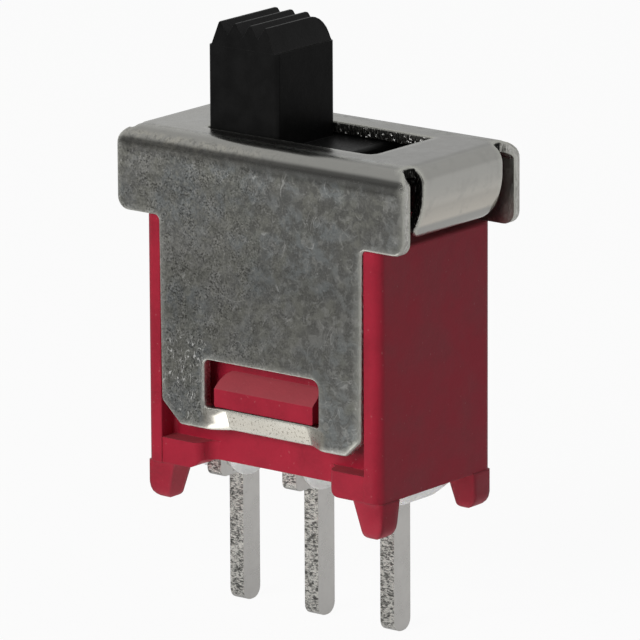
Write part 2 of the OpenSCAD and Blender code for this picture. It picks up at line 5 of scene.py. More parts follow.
import bpy
import numpy as np
from mathutils.geometry import delaunay_2d_cdt
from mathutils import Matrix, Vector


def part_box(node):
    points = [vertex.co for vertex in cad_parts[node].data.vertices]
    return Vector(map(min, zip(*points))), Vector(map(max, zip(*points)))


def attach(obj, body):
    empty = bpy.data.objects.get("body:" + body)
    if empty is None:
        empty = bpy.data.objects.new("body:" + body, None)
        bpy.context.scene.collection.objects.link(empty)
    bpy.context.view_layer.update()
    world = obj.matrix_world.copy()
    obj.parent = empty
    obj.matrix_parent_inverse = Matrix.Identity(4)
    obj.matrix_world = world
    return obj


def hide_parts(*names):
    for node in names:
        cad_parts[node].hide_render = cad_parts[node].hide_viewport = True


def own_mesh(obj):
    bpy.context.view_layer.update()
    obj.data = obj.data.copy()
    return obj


bl_info = {
    "name": "Slide Switch",
    "version": (1, 0, 0),
    "blender": (4, 5, 0),
    "location": "3D View > Sidebar > Slide Switch",
    "description": "Finishes a subminiature slide switch on its packed frame",
    "category": "Add Mesh",
}

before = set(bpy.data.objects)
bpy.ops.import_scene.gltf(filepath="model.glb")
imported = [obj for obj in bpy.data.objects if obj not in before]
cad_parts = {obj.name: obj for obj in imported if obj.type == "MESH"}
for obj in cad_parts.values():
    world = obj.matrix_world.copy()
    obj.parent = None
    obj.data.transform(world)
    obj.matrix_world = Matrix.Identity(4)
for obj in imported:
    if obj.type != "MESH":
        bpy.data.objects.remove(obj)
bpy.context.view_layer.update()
MM = 0.001
COVER_LOW, COVER_HIGH = (np.array(corner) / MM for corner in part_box("cover"))
PIN_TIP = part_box("common_terminal")[0][2]


def length(name, about, size):
    """A length property whose default is in millimetres."""
    return bpy.props.FloatProperty(name=name, description=about, subtype="DISTANCE", unit="LENGTH", default=size * MM)


def colour(name, about, value):
    """A colour property."""
    return bpy.props.FloatVectorProperty(name=name, description=about, subtype="COLOR", size=3, default=value)


class Finish(bpy.types.PropertyGroup):
    """Colours and edge sizes that a user would change."""

    case_colour: colour("Case colour", "Red of the moulded case", (0.35, 0.014, 0.034))
    sheet_colour: colour("Cover colour", "Grey of the plated sheet", (0.58, 0.575, 0.54))
    knob_colour: colour("Knob colour", "Black of the slider", (0.0055, 0.0055, 0.0055))
    pin_colour: colour("Pin colour", "Plating of the pins", (0.66, 0.645, 0.62))
    seal_colour: colour("Seal colour", "Pale resin under the case", (0.93, 0.95, 0.91))
    case_edge: length("Case edge", "Rounding of the case's moulded edges", 0.035)
    knob_edge: length("Knob edge", "Rounding of the knob's moulded edges", 0.03)
    pin_edge: length("Pin edge", "Rounding of the pins' sheared edges", 0.03)


class Sheet(bpy.types.PropertyGroup):
    """Sizes of the folded cover, the same as in the part's source."""

    thickness: length("Thickness", "Thickness of the sheet", 0.30)
    bend: length("Bend", "Outer radius of the long bends", 0.5)
    roll: length("Rolled edge", "Radius that the cut rolls over the outer edges", 0.075)
    hole_roll: length("Rolled hole edge", "Radius of the same roll round the slot and windows", 0.045)
    band_length: length("Band length", "Length of the front and back bands", 9.54)
    band_foot: length("Band foot", "Height of the bands' lower edge", 7.77)
    band_top_corner: length("Band top corner", "Radius of the bands' upper corners", 0.4)
    band_corner: length("Band corner", "Radius of the bands' lower corners", 0.35)
    tongue_width: length("Tongue width", "Width of a tongue at its root", 6.74)
    tongue_taper: length("Tongue taper", "How much each side narrows on its way down", 0.05)
    tongue_root: length("Tongue root", "Fillet where a tongue leaves its band", 0.15)
    tongue_corner: length("Tongue corner", "Radius of a tongue's lower corners", 0.15)
    slant_width: length("Slant width", "Width of the slant at each lower corner", 0.55)
    slant_height: length("Slant height", "Height of that slant", 0.52)
    slant_skew: bpy.props.FloatProperty(name="Slant skew", description="Left slant larger, right smaller", default=0.14)
    window_width: length("Window width", "Width of the window", 3.84)
    window_height: length("Window height", "Height of the window", 1.30)
    window_shift: length("Window shift", "How far the window sits to the right", 0.04)
    strip_height: length("Strip height", "Height of the strip under the window", 0.6)
    strip_flat: length("Strip flat", "Length of the strip's pushed-in middle", 2.7)
    strip_ramp: length("Strip ramp", "Length of the slope at each end of the strip", 0.53)
    strip_shift: length("Strip shift", "How far the strip sits to the right", 0.17)
    strip_in: length("Strip depth", "How far the strip's lower edge is pushed in", 0.3)
    tab_width: length("Tab width", "Width of the end tabs", 3.4)
    tab_corner: length("Tab corner", "Radius of the end tabs' lower corners", 0.4)
    tab_straight: length("Tab straight", "Upright part of an end tab", 0.21)
    curl: length("Curl", "Radius that the end tabs curl in on", 1.9)
    curl_angle: bpy.props.FloatProperty(
        name="Curl angle", description="Angle that the end tabs curl in by", subtype="ANGLE", default=math.radians(42)
    )
    notch: length("Notch", "Depth of the gaps beside an end tab", 0.41)
    slot_length: length("Slot length", "Length of the slot for the knob", 5.55)
    slot_width: length("Slot width", "Width of the slot for the knob", 2.60)
    slot_shift: length("Slot shift", "How far the slot sits to the right", 0.06)


class Spring(bpy.types.PropertyGroup):
    """Sizes of the plunger's spring, the same as in the part's source."""

    wire: length("Wire", "Thickness of the wire", 0.14)
    turns: bpy.props.IntProperty(name="Turns", description="Number of turns", default=8)


class Stage(bpy.types.PropertyGroup):
    """Where the camera stands and how bright the stage is."""

    azimuth: bpy.props.FloatProperty(
        name="Azimuth", description="Camera's angle round the part", subtype="ANGLE", default=math.radians(38.33)
    )
    elevation: bpy.props.FloatProperty(
        name="Elevation", description="Camera's angle above the board", subtype="ANGLE", default=math.radians(13.94)
    )
    roll: bpy.props.FloatProperty(
        name="Roll", description="Camera's turn about its own axis", subtype="ANGLE", default=math.radians(-0.29)
    )
    distance: length("Distance", "From the aim point to the camera", 205.6)
    lens: bpy.props.FloatProperty(
        name="Lens", description="Focal length in millimetres", subtype="DISTANCE_CAMERA", default=438.9
    )
    floor_colour: colour("Floor colour", "Pale floor under the part", (0.86, 0.86, 0.86))
    floor_white: bpy.props.FloatProperty(name="Floor white", description="Share of plain white to the camera", default=0.94)
    key: bpy.props.FloatProperty(name="Key lamp", description="Power in watts", default=0.45)
    fill: bpy.props.FloatProperty(name="Fill lamp", description="Power in watts", default=0.01)
    top: bpy.props.FloatProperty(name="Top lamp", description="Power in watts", default=0.08)
    room: bpy.props.FloatProperty(name="Room light", description="Light from all round", default=0.14)


class Wiring:
    """Builds a node material: each call adds a node, sets its options and joins or sets its inputs."""

    def __init__(self, name, owner=None):
        owner = owner or bpy.data.materials.new(name)
        owner.use_nodes = True
        self.owner = owner
        self.tree = owner.node_tree

    def add(self, kind, inputs=None, out=0, **options):
        node = self.tree.nodes.new("ShaderNode" + kind)
        for key, value in options.items():
            setattr(node, key, value)
        self.join(node, inputs or {})
        return node.outputs[out]

    def join(self, node, inputs):
        for key, value in inputs.items():
            if isinstance(value, bpy.types.NodeSocket):
                self.tree.links.new(value, node.inputs[key])
            elif isinstance(value, tuple) and len(value) == 3 and node.inputs[key].type == "RGBA":
                node.inputs[key].default_value = (*value, 1)
            else:
                node.inputs[key].default_value = value

    def place(self, scale=(1, 1, 1)):
        """Object coordinates, stretched by a factor along each axis."""
        return self.add("Mapping", {"Vector": self.add("TexCoord", out=3), "Scale": scale})

    def noise(self, size, detail=2.0, rough=0.5, stretch=(1, 1, 1), warp=0.0):
        """Cloudy noise from 0 to 1 with features of a size in millimetres."""
        scale = {"Vector": self.place(stretch), "Scale": 1 / (size * MM), "Detail": detail}
        return self.add("TexNoise", {**scale, "Roughness": rough, "Distortion": warp})

    def cells(self, size, out=0, feature="F1", jitter=1.0, stretch=(1, 1, 1)):
        """Cells of a size in millimetres: their distance, or their colour as out 1."""
        values = {"Vector": self.place(stretch), "Scale": 1 / (size * MM), "Randomness": jitter}
        return self.add("TexVoronoi", values, out, feature=feature)

    def band(self, value, low, high, bottom=0.0, top=1.0):
        """A value carried smoothly from one range to another."""
        values = {"Value": value, "From Min": low, "From Max": high, "To Min": bottom, "To Max": top}
        return self.add("MapRange", values, interpolation_type="SMOOTHSTEP")

    def maths(self, sort, a, b=0.0):
        return self.add("Math", {0: a, 1: b}, operation=sort)

    def blend(self, part, a, b, mode="MIX"):
        """Two colours mixed by a share."""
        node = self.tree.nodes.new("ShaderNodeMix")
        node.data_type = "RGBA"
        node.blend_type = mode
        for key, value in ((0, part), (6, a), (7, b)):
            if isinstance(value, bpy.types.NodeSocket):
                self.tree.links.new(value, node.inputs[key])
            else:
                node.inputs[key].default_value = (*value, 1) if isinstance(value, tuple) else value
        return node.outputs[2]

    def attribute(self, name):
        return self.add("Attribute", out=2, attribute_name=name)

    def bump(self, height, depth, normal=None, strength=1.0):
        """Relief of a depth in millimetres."""
        values = {"Height": height, "Distance": depth * MM, "Strength": strength}
        if normal:
            values["Normal"] = normal
        return self.add("Bump", values)

    def edge(self, radius):
        """Normals that turn round an edge, and a mask of the edges."""
        soft = self.add("Bevel", {"Radius": radius}, samples=6)
        flat = self.add("NewGeometry", out=3)
        turn = self.add("VectorMath", {0: soft, 1: flat}, 1, operation="DOT_PRODUCT")
        return soft, self.band(turn, 0.98, 0.8)

    def finish(self, **inputs):
        """Sets the surface's own inputs."""
        shader = self.tree.nodes["Principled BSDF"]
        self.join(shader, {key.replace("_", " "): value for key, value in inputs.items()})
        return self.owner


def scaled(value, factor):
    """A colour made lighter or darker."""
    return tuple(min(1.0, channel * factor) for channel in value)


def moulded_red(finish):
    """Satin red moulding: fine skin, cloudy colour and a few pale flash specks, with a painted highlight as a paler
    line along the edges and on faces turned up.
    """
    w = Wiring("moulded_red")
    height = w.add("SeparateXYZ", {0: w.add("TexCoord", out=3)}, 2)
    soft, rim = w.edge(w.band(height, 0.9 * MM, 1.1 * MM, 6.0 * finish.case_edge, finish.case_edge))
    cloud = w.noise(1.1, 3.0, 0.6)
    grain = w.noise(0.07, 2.0, 0.6)
    speck = w.band(w.noise(0.1, 1.0, 0.4), 0.73, 0.78)
    base = tuple(finish.case_colour)
    body = w.blend(w.band(cloud, 0.3, 0.7), scaled(base, 0.88), scaled(base, 1.1))
    body = w.blend(w.band(grain, 0.35, 0.75, 0.0, 0.3), body, scaled(base, 1.25))
    # Painted highlight: a paler red line along the rounded edges.
    body = w.blend(w.maths("MULTIPLY", rim, 0.22), body, (0.46, 0.07, 0.09))
    body = w.blend(w.maths("MULTIPLY", speck, 0.35), body, (0.46, 0.16, 0.17))
    # Painted light: faces turned up are painted a paler red, as if lit from above.
    facing = w.add("SeparateXYZ", {0: w.add("TexCoord", out=1)}, 2)
    body = w.blend(w.band(facing, 0.25, 0.6, 0.0, 0.45), body, (0.46, 0.13, 0.14))
    relief = w.bump(w.noise(0.9, 2.0), 0.02, soft)
    relief = w.bump(grain, 0.004, relief)
    gloss = w.band(cloud, 0.3, 0.7, 0.38, 0.5)
    return w.finish(Base_Color=body, Roughness=gloss, Normal=relief, Specular_IOR_Level=0.29)


def plated_sheet(finish):
    """Dull plated steel: stained, speckled and scratched on its flat faces, and smooth where it was bent or pressed.

    The specks are fine on the left and melt into soft patches on the right, as on a sheet that has aged unevenly.
    Light and shade are painted in: a painted reflection lighter on the left of the top, a painted dark line along each
    long bend with darker sheet lower down, a painted highlight on the pressed strip, and painted near-black shade in
    the slot and the end gaps. Edges get a paler and duller line, partly wear and partly a painted highlight, and the
    cut faces beside them are torn, with painted glints.
    """
    w = Wiring("plated_sheet")
    base = tuple(finish.sheet_colour)
    bend = w.attribute("bend")
    torn = w.attribute("cut")
    pressed_sheen = w.attribute("pressed_sheen")
    wear_and_sheen = w.attribute("wear_and_sheen")
    deep = w.attribute("deep")
    place = w.add("TexCoord", out=3)
    axes = w.add("SeparateXYZ", {0: place}).node.outputs
    left = w.band(axes["X"], -2.5 * MM, 2.5 * MM, 1.0, 0.0)
    end = w.band(w.maths("ABSOLUTE", axes["X"]), 4.5 * MM, 4.7 * MM)
    top = COVER_HIGH[2] * MM
    dull = w.maths("SUBTRACT", 1.0, w.maths("MAXIMUM", bend, pressed_sheen))
    fine = w.maths("MULTIPLY", dull, w.band(left, 0.0, 1.0, 0.25, 0.9))
    broad = w.maths("MULTIPLY", dull, w.band(left, 0.0, 1.0, 0.8, 0.45))
    stain = w.noise(0.75, 2.0, 0.5)
    patch = w.noise(0.36, 3.0, 0.6, warp=0.5)
    speckle = w.noise(0.055, 2.0, 0.65)
    crowd = w.band(w.noise(0.3, 2.0, 0.6), 0.4, 0.6, 0.35, 1.0)
    blue = w.maths("MULTIPLY", w.band(w.noise(1.5, 2.0), 0.4, 0.6), w.maths("MULTIPLY", dull, 0.6))
    body = w.blend(blue, scaled(base, 0.9), (0.40, 0.445, 0.46))
    body = w.blend(w.maths("MULTIPLY", w.band(stain, 0.56, 0.44), w.maths("MULTIPLY", dull, 0.6)), body, (0.40, 0.40, 0.34))
    body = w.blend(w.maths("MULTIPLY", w.band(patch, 0.42, 0.56), broad), body, scaled(base, 0.5))
    pale = w.maths("MULTIPLY", w.band(w.noise(0.2, 2.0, 0.5, warp=1.0), 0.56, 0.68), w.maths("MULTIPLY", broad, 0.6))
    body = w.blend(pale, body, (0.72, 0.72, 0.68))
    chip = w.maths("MULTIPLY", w.band(w.noise(0.13, 3.0, 0.65, warp=0.4), 0.5, 0.6), fine)
    body = w.blend(w.maths("MULTIPLY", chip, 0.5), body, (0.64, 0.635, 0.56))
    dark = w.maths("MULTIPLY", w.band(speckle, 0.47, 0.38), w.maths("MULTIPLY", crowd, fine))
    body = w.blend(w.maths("MULTIPLY", dark, 0.9), body, scaled(base, 0.22))
    light = w.maths("MULTIPLY", w.band(speckle, 0.53, 0.64), w.maths("MULTIPLY", crowd, fine))
    body = w.blend(w.maths("MULTIPLY", light, 0.6), body, (0.92, 0.91, 0.88))
    hair = scratches(w, 0.9, (1.0, 1.0, 0.7), 0.009)
    nick = scratches(w, 0.3, (1.0, 1.0, 0.4), 0.034)
    nick = w.maths("MULTIPLY", nick, w.band(w.noise(0.2, 1.0), 0.48, 0.58))
    rubbed = w.add("VectorMath", {0: place, 1: (-2.5 * MM, -2.5 * MM, 3.5 * MM)}, 1, operation="DISTANCE")
    hair = w.maths("MULTIPLY", hair, w.band(w.noise(0.5, 1.0), 0.5, 0.58))
    nick = w.maths("MULTIPLY", nick, w.band(rubbed, 0.8 * MM, 1.5 * MM, 0.8, 0.08))
    mark = w.maths("MULTIPLY", w.maths("MAXIMUM", w.maths("MULTIPLY", hair, 0.3), nick), dull)
    body = w.blend(mark, body, (0.98, 0.98, 0.95))
    # Painted reflection: the top plate is painted lighter on the left and darker on the right.
    plate = w.blend(left, scaled(base, 0.48), scaled(base, 0.76))
    tab = w.blend(w.band(axes["Z"], top - 0.5 * MM, top - 1.8 * MM), scaled(base, 0.76), (0.65, 0.61, 0.54))
    smooth = w.blend(w.band(axes["Z"], top - 0.05 * MM, top), scaled(base, 0.7), plate)
    smooth = w.blend(w.band(end, 0.2, 0.8), smooth, tab)
    blot = w.maths("MULTIPLY", w.band(w.noise(0.45, 3.0, 0.65), 0.5, 0.68), 0.3)
    smooth = w.blend(blot, smooth, scaled(base, 0.62))
    aged = w.maths("MULTIPLY", left, w.band(axes["Z"], top - 0.04 * MM, top - 0.16 * MM))
    film = w.maths("MULTIPLY", aged, w.band(w.noise(0.3, 4.0, 0.75, warp=0.3), 0.4, 0.64, 0.1, 0.75))
    smooth = w.blend(w.maths("MULTIPLY", film, w.maths("SUBTRACT", 1.0, end)), smooth, (0.58, 0.56, 0.49))
    fleck = w.maths("MULTIPLY", aged, w.band(w.noise(0.12, 3.0, 0.7), 0.5, 0.38))
    smooth = w.blend(w.maths("MULTIPLY", fleck, 0.45), smooth, scaled(base, 0.3))
    body = w.blend(bend, body, smooth)
    # Painted shade and light by height: a dark line painted along the lower part of each long bend, broken up on the
    # left, the sheet down to about 1 mm below the top painted a little lighter, and the sheet from about 2.4 mm below
    # the top painted darker further down.
    fold = w.maths("MULTIPLY", w.band(axes["Z"], top - 0.76 * MM, top - 0.62 * MM), w.maths("SUBTRACT", 1.0, end))
    fold = w.maths("MULTIPLY", fold, w.band(axes["Z"], top - 0.3 * MM, top - 0.42 * MM))
    broken = w.maths("MULTIPLY", left, w.band(w.noise(0.28, 3.0, 0.7), 0.42, 0.62))
    fold = w.maths("MULTIPLY", fold, w.maths("SUBTRACT", 1.0, w.maths("MULTIPLY", broken, 0.7)))
    under = w.band(axes["Z"], top - 1.2 * MM, top - 1.0 * MM, 0.0, 0.16)
    under = w.maths("ADD", under, w.band(axes["Z"], top - 3.6 * MM, top - 2.4 * MM, 0.84, 1.0))
    tone = w.maths("SUBTRACT", under, w.maths("MULTIPLY", fold, 0.44))
    tone = w.blend(w.band(axes["Z"], top - 0.4 * MM, top - 0.3 * MM), tone, (1.0, 1.0, 1.0))
    body = w.blend(1.0, body, tone, "MULTIPLY")
    # Painted highlight: the pressed strip under each window is painted bright, brightest on its left ramp; the film and
    # pits below are dirt.
    body = w.blend(w.maths("MULTIPLY", pressed_sheen, 0.95), body, (0.90, 0.86, 0.77))
    pit = w.band(w.noise(0.06, 1.0, 0.5), 0.6, 0.66)
    soil = w.band(pressed_sheen, 0.65, 0.8, 0.9, 0.0)
    pit = w.maths("MULTIPLY", pit, w.maths("MULTIPLY", pressed_sheen, soil))
    body = w.blend(w.maths("MULTIPLY", w.band(pressed_sheen, 0.02, 0.3), w.maths("MULTIPLY", soil, 0.35)), body, (0.50, 0.46, 0.37))
    body = w.blend(pit, body, (0.10, 0.08, 0.05))
    tear = w.noise(0.05, 2.0, 0.6, stretch=(1, 1, 0.35))
    cut = w.blend(w.band(tear, 0.36, 0.6), (0.50, 0.49, 0.46), (0.84, 0.83, 0.79))
    # Painted shade: the faces in the slot and the end gaps are painted near black, with torn grey patches and painted
    # glints.
    hole = w.blend(w.band(tear, 0.5, 0.66), (0.02, 0.02, 0.018), (0.42, 0.41, 0.38))
    glint = w.band(w.noise(0.09, 2.0, 0.6), 0.6, 0.68)
    hole = w.blend(glint, hole, (1.0, 0.99, 0.95))
    cut = w.blend(w.maths("MULTIPLY", glint, 0.9), cut, (1.0, 1.0, 0.98))
    body = w.blend(w.maths("MULTIPLY", torn, 0.85), body, cut)
    # A paler line along the outer edges, partly wear and partly a painted highlight; on the inner face near the band
    # ends it is all painted highlight.
    body = w.blend(w.maths("MULTIPLY", wear_and_sheen, 0.7), body, (0.64, 0.64, 0.58))
    # Painted shade: darker still where the gap is deepest, laid over the sheet by the deep attribute.
    hole = w.blend(w.band(deep, 0.85, 0.95, 0.0, 0.9), hole, (0.012, 0.012, 0.011))
    body = w.blend(deep, body, hole)
    gloss = w.maths("ADD", 0.19, w.maths("MULTIPLY", dull, w.band(patch, 0.3, 0.7, 0.12, 0.24)))
    gloss = w.maths("ADD", gloss, w.maths("MULTIPLY", torn, 0.15))
    relief = w.bump(w.noise(1.8, 1.0), 0.03)
    relief = w.bump(w.maths("MULTIPLY", patch, dull), 0.014, relief)
    relief = w.bump(w.maths("MULTIPLY", speckle, fine), 0.006, relief)
    relief = w.bump(w.maths("MULTIPLY", tear, torn), 0.05, relief)
    sparkle = w.band(w.noise(0.045, 1.0), 0.42, 0.66, 0.12, 0.6)
    sparkle = w.maths("MULTIPLY", sparkle, w.band(left, 0.0, 1.0, 0.45, 0.9))
    sparkle = w.maths("MAXIMUM", w.maths("MULTIPLY", wear_and_sheen, sparkle), w.maths("MULTIPLY", mark, 0.5))
    sparkle = w.maths("MAXIMUM", sparkle, w.maths("MULTIPLY", w.maths("MULTIPLY", torn, glint), 0.8))
    metal = w.maths("SUBTRACT", 1.0, sparkle)
    return w.finish(Base_Color=body, Metallic=metal, Roughness=gloss, Normal=relief)


def scratches(w, size, stretch, width):
    """Thin bent lines: where a warped noise passes its middle value."""
    line = w.noise(size, 1.0, 0.4, stretch=stretch, warp=2.0)
    return w.band(w.maths("ABSOLUTE", w.maths("SUBTRACT", line, 0.5)), width, width / 4)


def black_nylon(finish):
    """Satin black moulding with a fine skin, a painted highlight as a slightly paler line along the edges and ridges,
    and painted shade as weaker shine on the faces turned along the switch.
    """
    w = Wiring("black_nylon")
    soft, rim = w.edge(finish.knob_edge)
    base = tuple(finish.knob_colour)
    cloud = w.noise(0.6, 3.0, 0.6)
    grain = w.noise(0.05, 2.0, 0.6)
    facing = w.maths("ABSOLUTE", w.add("SeparateXYZ", {0: w.add("TexCoord", out=1)}, 0))
    # Painted shade: faces turned along the switch get weaker specular, so the knob's ends read darker.
    shine = w.band(facing, 0.9, 0.98, 0.15, 0.07)
    body = w.blend(w.band(cloud, 0.3, 0.7), scaled(base, 0.9), scaled(base, 1.5))
    # Painted highlight: a slightly paler line along the knob's edges and ridges.
    body = w.blend(w.maths("MULTIPLY", rim, 0.7), body, (0.03, 0.03, 0.029))
    relief = w.bump(cloud, 0.012, soft)
    relief = w.bump(grain, 0.003, relief)
    gloss = w.band(grain, 0.3, 0.7, 0.34, 0.46)
    return w.finish(Base_Color=body, Roughness=gloss, Normal=relief, Specular_IOR_Level=shine)


def tinned_pin(finish):
    """Tinned pin: smooth dull faces, and sides torn by the shear in fine lines that run across the thickness."""
    w = Wiring("tinned_pin")
    soft, rim = w.edge(finish.pin_edge)
    base = tuple(finish.pin_colour)
    cloud = w.noise(0.5, 3.0, 0.6)
    facing = w.add("SeparateXYZ", {0: w.add("TexCoord", out=1)}, 1)
    sheared = w.band(w.maths("ABSOLUTE", facing), 0.6, 0.9)
    line = w.noise(0.036, 3.0, 0.7, stretch=(0.35, 0.35, 1.0), warp=0.6)
    blot = w.noise(0.13, 2.0, 0.6)
    torn = w.maths("ADD", w.maths("MULTIPLY", line, 0.7), w.maths("MULTIPLY", blot, 0.3))
    body = w.blend(w.band(cloud, 0.35, 0.65), scaled(base, 0.92), base)
    rough_side = w.blend(w.band(torn, 0.41, 0.57), (0.14, 0.14, 0.13), (1.0, 0.98, 0.92))
    body = w.blend(sheared, body, rough_side)
    # Painted highlight: a paler line along the pins' edges.
    body = w.blend(w.maths("MULTIPLY", rim, 0.6), body, (0.82, 0.80, 0.75))
    gloss = w.maths("ADD", w.band(cloud, 0.3, 0.7, 0.26, 0.34), w.maths("MULTIPLY", sheared, 0.1))
    relief = w.bump(cloud, 0.008, soft)
    relief = w.bump(w.maths("MULTIPLY", torn, sheared), 0.05, relief)
    return w.finish(Base_Color=body, Metallic=1.0, Roughness=gloss, Normal=relief)


def cloudy_resin(finish):
    """Pale sealing resin, cloudy inside and uneven on top."""
    w = Wiring("cloudy_resin")
    base = tuple(finish.seal_colour)
    cloud = w.noise(0.5, 4.0, 0.6)
    body = w.blend(w.band(cloud, 0.3, 0.7), scaled(base, 0.9), scaled(base, 1.06))
    values = {"Subsurface_Weight": 0.3, "Subsurface_Scale": 0.4 * MM, "Subsurface_Radius": (1.0, 1.0, 0.8)}
    values["Coat_Weight"] = 0.6
    gloss = w.band(cloud, 0.3, 0.7, 0.14, 0.3)
    return w.finish(Base_Color=body, Roughness=gloss, Normal=w.bump(cloud, 0.05), **values)


def inner_metal(name, base, gloss, edge):
    """Metal of the hidden works: clouded plating with fine marks and bright edges."""
    w = Wiring(name)
    soft, rim = w.edge(edge)
    cloud = w.noise(0.4, 3.0, 0.6)
    marks = w.noise(0.05, 2.0, 0.6, stretch=(1, 1, 0.2))
    body = w.blend(w.band(cloud, 0.3, 0.7), scaled(base, 0.82), scaled(base, 1.1))
    body = w.blend(w.maths("MULTIPLY", rim, 0.5), body, scaled(base, 1.3))
    relief = w.bump(marks, 0.004, soft)
    rough = w.band(marks, 0.3, 0.7, gloss - 0.06, gloss + 0.08)
    return w.finish(Base_Color=body, Metallic=1.0, Roughness=rough, Normal=relief)


def crease_group():
    """A modifier that shades smooth and keeps each edge sharp where its faces turn by more than an angle."""
    group = bpy.data.node_groups.new("creases", "GeometryNodeTree")
    group.interface.new_socket("Geometry", in_out="INPUT", socket_type="NodeSocketGeometry")
    group.interface.new_socket("Geometry", in_out="OUTPUT", socket_type="NodeSocketGeometry")
    first = group.nodes.new("NodeGroupInput")
    last = group.nodes.new("NodeGroupOutput")
    faces = group.nodes.new("GeometryNodeSetShadeSmooth")
    edges = group.nodes.new("GeometryNodeSetShadeSmooth")
    edges.domain = "EDGE"
    edges.inputs["Shade Smooth"].default_value = False
    angle = group.nodes.new("GeometryNodeInputMeshEdgeAngle")
    sharp = group.nodes.new("FunctionNodeCompare")
    sharp.operation = "GREATER_THAN"
    sharp.inputs[1].default_value = math.radians(34)
    group.links.new(angle.outputs[0], sharp.inputs[0])
    group.links.new(sharp.outputs[0], edges.inputs["Selection"])
    group.links.new(first.outputs[0], faces.inputs[0])
    group.links.new(faces.outputs[0], edges.inputs[0])
    group.links.new(edges.outputs[0], last.inputs[0])
    return group


def dress(name, material, creases):
    """A CAD node keeps its mesh: its seams are welded, its curves shaded smooth and its flats kept flat."""
    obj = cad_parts[name]
    obj.data.materials.clear()
    obj.data.materials.append(material)
    weld = obj.modifiers.new("weld", "WELD")
    weld.merge_threshold = 1e-6
    crease = obj.modifiers.new("creases", "NODES")
    crease.node_group = creases
    normal = obj.modifiers.new("normals", "WEIGHTED_NORMAL")
    normal.keep_sharp = True
    return obj


def creases():
    return bpy.data.node_groups.get("creases") or crease_group()


def rounded(points):
    """An outline from corners (x, y, radius): each corner becomes an arc that touches both its sides."""
    pts = np.array(points, float)
    out = []
    for k, (x, y, r) in enumerate(pts):
        here = np.array([x, y])
        if r <= 0:
            out.append(here[None])
            continue
        back, ahead = pts[k - 1, :2] - here, pts[(k + 1) % len(pts), :2] - here
        u, v = back / np.hypot(*back), ahead / np.hypot(*ahead)
        half = math.acos(np.clip(u @ v, -1, 1)) / 2
        middle = here + (u + v) / np.hypot(*(u + v)) * r / math.sin(half)
        start, end = here + u * r / math.tan(half) - middle, here + v * r / math.tan(half) - middle
        a = math.atan2(start[1], start[0])
        turn = (math.atan2(end[1], end[0]) - a + math.pi) % (2 * math.pi) - math.pi
        angles = a + turn * np.linspace(0, 1, max(4, int(abs(turn) * 5)))
        out.append(middle + r * np.column_stack([np.cos(angles), np.sin(angles)]))
    return np.concatenate(out)


def divided(loop, step):
    """A closed outline with points added so that no side is longer than a step."""
    nxt = np.roll(loop, -1, axis=0)
    count = np.maximum(1, np.ceil(np.hypot(*(nxt - loop).T) / step)).astype(int)
    start = np.repeat(np.arange(len(loop)), count)
    share = np.concatenate([np.arange(n) / n for n in count])
    return loop[start] + (nxt - loop)[start] * share[:, None]


def moved_in(loop, depth):
    """The outline moved to its left by a depth, along the half-angle at each point."""
    nxt, prev = np.roll(loop, -1, axis=0) - loop, loop - np.roll(loop, 1, axis=0)
    a, b = (np.column_stack([-d[:, 1], d[:, 0]]) / np.hypot(*d.T)[:, None] for d in (prev, nxt))
    return loop + depth * (a + b) / (1 + (a * b).sum(1))[:, None]


def inside(points, loops):
    """Whether each point lies inside the outlines, by counting the sides that a ray crosses."""
    hits = np.zeros(len(points), int)
    for loop in loops:
        x0, y0 = loop.T
        x1, y1 = np.roll(loop, -1, axis=0).T
        for start in range(0, len(points), 4000):
            px, py = points[start : start + 4000].T[:, :, None]
            spans = (y0 > py) != (y1 > py)
            with np.errstate(divide="ignore", invalid="ignore"):
                cross = px < x0 + (py - y0) * (x1 - x0) / (y1 - y0)
            hits[start : start + 4000] += (spans & cross).sum(1)
    return hits % 2 == 1


def coil(name, low, high, wire, turns):
    """A round wire along a helix between two corners: circles across the radius, with flat discs at both ends."""
    t = np.linspace(0, 1, turns * 36 + 1)[:, None]
    b = np.arange(10) * math.pi / 5
    angle = 2 * math.pi * turns * t
    radius = (high[0] - low[0]) / 2 - wire / 2 + wire / 2 * np.cos(b)
    x = (low[0] + high[0]) / 2 + radius * np.cos(angle)
    y = (low[1] + high[1]) / 2 + radius * np.sin(angle)
    z = low[2] + wire / 2 + (high[2] - low[2] - wire) * t + wire / 2 * np.sin(b)
    k = np.arange(len(t) * 10).reshape(-1, 10)
    ahead = np.roll(k, -1, axis=1)
    sides = np.stack([k[:-1], k[1:], ahead[1:], ahead[:-1]], -1).reshape(-1, 4)
    mesh = bpy.data.meshes.new(name)
    ends = [k[0].tolist(), k[-1, ::-1].tolist()]
    mesh.from_pydata(np.stack([x, y, z], -1).reshape(-1, 3).tolist(), [], sides.tolist() + ends)
    mesh.polygons.foreach_set("use_smooth", np.arange(len(mesh.polygons)) < len(sides))
    mesh.validate()
    return mesh


